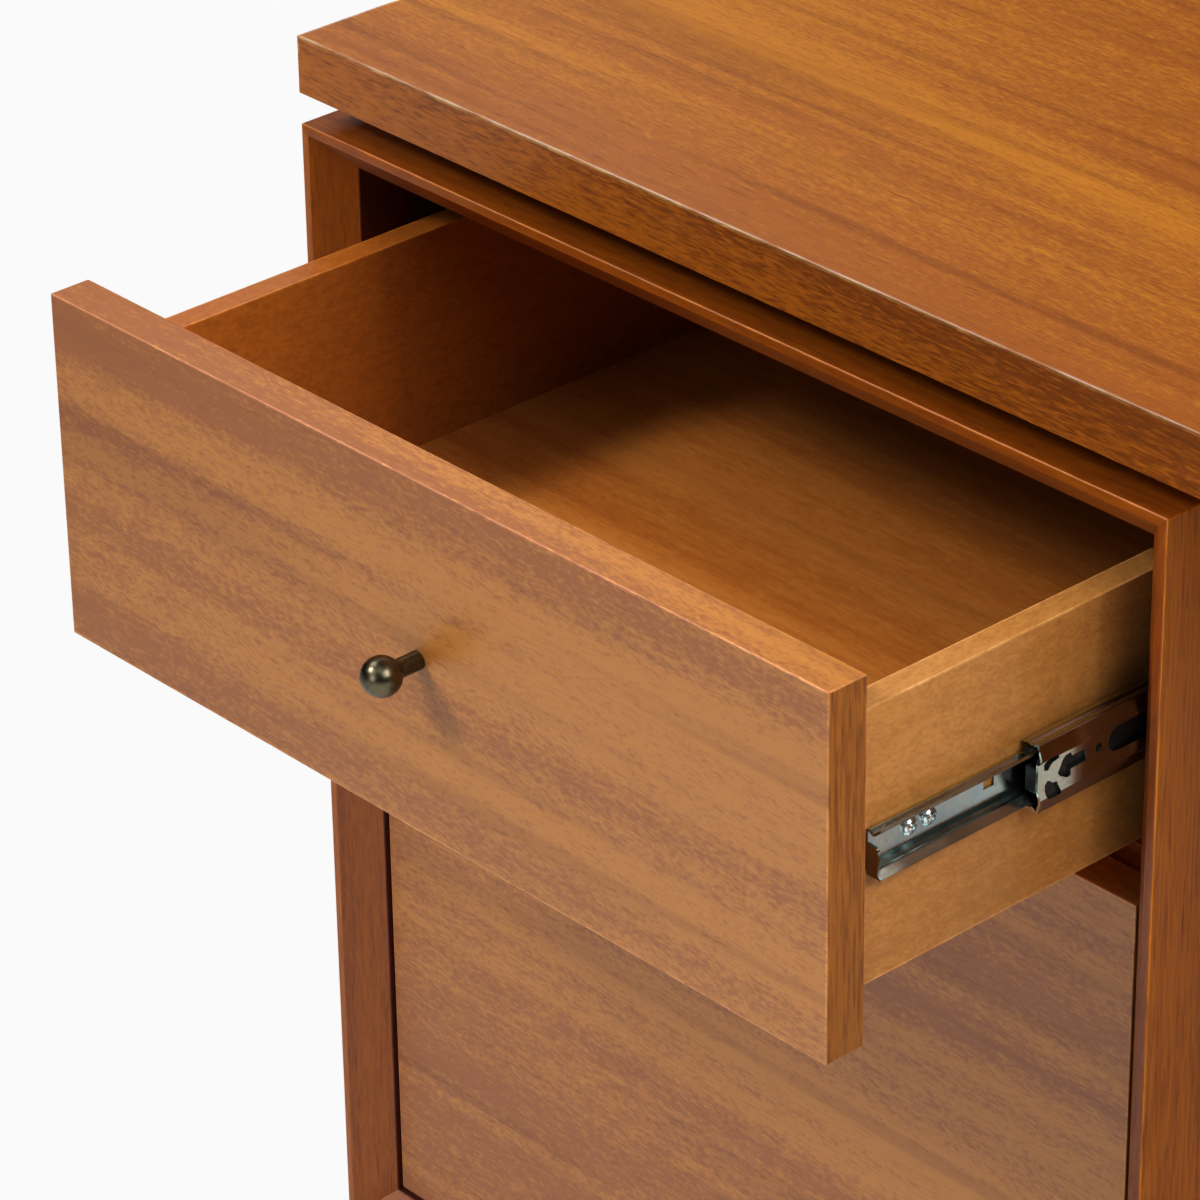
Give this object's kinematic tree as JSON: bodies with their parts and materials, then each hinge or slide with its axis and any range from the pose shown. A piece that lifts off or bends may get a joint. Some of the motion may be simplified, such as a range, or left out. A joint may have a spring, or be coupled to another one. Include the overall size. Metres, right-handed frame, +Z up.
{
  "type": "executive desk",
  "caption": "Double-pedestal executive desk with a floating slab top, box and file drawers on ball bearing slides, ball knobs and short tapered legs.",
  "frame": {"origin": "on the floor, in the middle of the whole footprint, which includes the part open left box drawer and its knob", "axes": "+X along the front to the right as the sitter's side is seen, -Y towards the sitter (drawers open along -Y), +Z up"},
  "size_m": [1.524, 0.876, 0.762],
  "materials": {
    "wood_top": "satin lacquer, golden brown, grain along the front",
    "wood_case": "satin lacquer, warm brown, grain along each board",
    "wood_front": "satin lacquer, grain along the front",
    "wood_box": "clear satin, lighter plywood",
    "zinc": "bright zinc plate with a faint yellow cast",
    "bronze": "dark antique bronze, satin",
    "dark_steel": "black powder coat",
    "glide": "dark nylon"
  },
  "bodies": {
    "desk": {"desk_top": "wood_top", "top_battens": "wood_case", "left_case_top": "wood_case", "left_case_bottom": "wood_case", "left_case_outer_side": "wood_case", "left_case_inner_side": "wood_case", "left_case_back": "wood_case", "left_case_rail": "wood_case", "right_case_top": "wood_case", "right_case_bottom": "wood_case", "right_case_outer_side": "wood_case", "right_case_inner_side": "wood_case", "right_case_back": "wood_case", "right_case_rail": "wood_case", "left_legs": "wood_case", "right_legs": "wood_case", "leg_plates": "dark_steel", "leg_studs": "zinc", "leg_glides": "glide", "modesty_panel": "wood_case", "modesty_cleats": "wood_case", "assembly_screws": "zinc", "left_cabinet_slides": "zinc", "right_cabinet_slides": "zinc", "cabinet_slide_screws": "zinc"},
    "left_box_middle": {"left_box_middle_slides": "zinc"},
    "left_file_middle": {"left_file_middle_slides": "zinc"},
    "right_box_middle": {"right_box_middle_slides": "zinc"},
    "right_file_middle": {"right_file_middle_slides": "zinc"},
    "left_box_drawer": {"left_box_drawer_front": "wood_front", "left_box_drawer_left_side": "wood_box", "left_box_drawer_right_side": "wood_box", "left_box_drawer_inner_front": "wood_box", "left_box_drawer_back": "wood_box", "left_box_drawer_bottom": "wood_box", "left_box_drawer_knob": "bronze", "left_box_drawer_knob_screw": "zinc", "left_box_drawer_slides": "zinc", "left_box_drawer_slide_screws": "zinc"},
    "left_file_drawer": {"left_file_drawer_front": "wood_front", "left_file_drawer_box": "wood_box", "left_file_drawer_bottom": "wood_box", "left_file_drawer_knob": "bronze", "left_file_drawer_slides": "zinc", "left_file_drawer_screws": "zinc"},
    "right_box_drawer": {"right_box_drawer_front": "wood_front", "right_box_drawer_box": "wood_box", "right_box_drawer_bottom": "wood_box", "right_box_drawer_knob": "bronze", "right_box_drawer_slides": "zinc", "right_box_drawer_screws": "zinc"},
    "right_file_drawer": {"right_file_drawer_front": "wood_front", "right_file_drawer_box": "wood_box", "right_file_drawer_bottom": "wood_box", "right_file_drawer_knob": "bronze", "right_file_drawer_slides": "zinc", "right_file_drawer_screws": "zinc"}
  },
  "joints": [
    {"name": "left_box_drawer_slide", "type": "slide", "parent": "desk", "child": "left_box_drawer", "axis": [0, -1, 0], "range_m": [-0.1545, 0.3955]},
    {"name": "left_box_middle_slide", "type": "slide", "parent": "desk", "child": "left_box_middle", "axis": [0, -1, 0], "range_m": [-0.07725, 0.19775]},
    {"name": "left_file_drawer_slide", "type": "slide", "parent": "desk", "child": "left_file_drawer", "axis": [0, -1, 0], "range_m": [0, 0.55]},
    {"name": "left_file_middle_slide", "type": "slide", "parent": "desk", "child": "left_file_middle", "axis": [0, -1, 0], "range_m": [0, 0.275]},
    {"name": "right_box_drawer_slide", "type": "slide", "parent": "desk", "child": "right_box_drawer", "axis": [0, -1, 0], "range_m": [0, 0.55]},
    {"name": "right_box_middle_slide", "type": "slide", "parent": "desk", "child": "right_box_middle", "axis": [0, -1, 0], "range_m": [0, 0.275]},
    {"name": "right_file_drawer_slide", "type": "slide", "parent": "desk", "child": "right_file_drawer", "axis": [0, -1, 0], "range_m": [0, 0.55]},
    {"name": "right_file_middle_slide", "type": "slide", "parent": "desk", "child": "right_file_middle", "axis": [0, -1, 0], "range_m": [0, 0.275]}
  ],
  "couplings": [
    {"joint": "left_box_middle_slide", "follows": "left_box_drawer_slide", "ratio": 0.5},
    {"joint": "left_file_middle_slide", "follows": "left_file_drawer_slide", "ratio": 0.5},
    {"joint": "right_box_middle_slide", "follows": "right_box_drawer_slide", "ratio": 0.5},
    {"joint": "right_file_middle_slide", "follows": "right_file_drawer_slide", "ratio": 0.5}
  ]
}
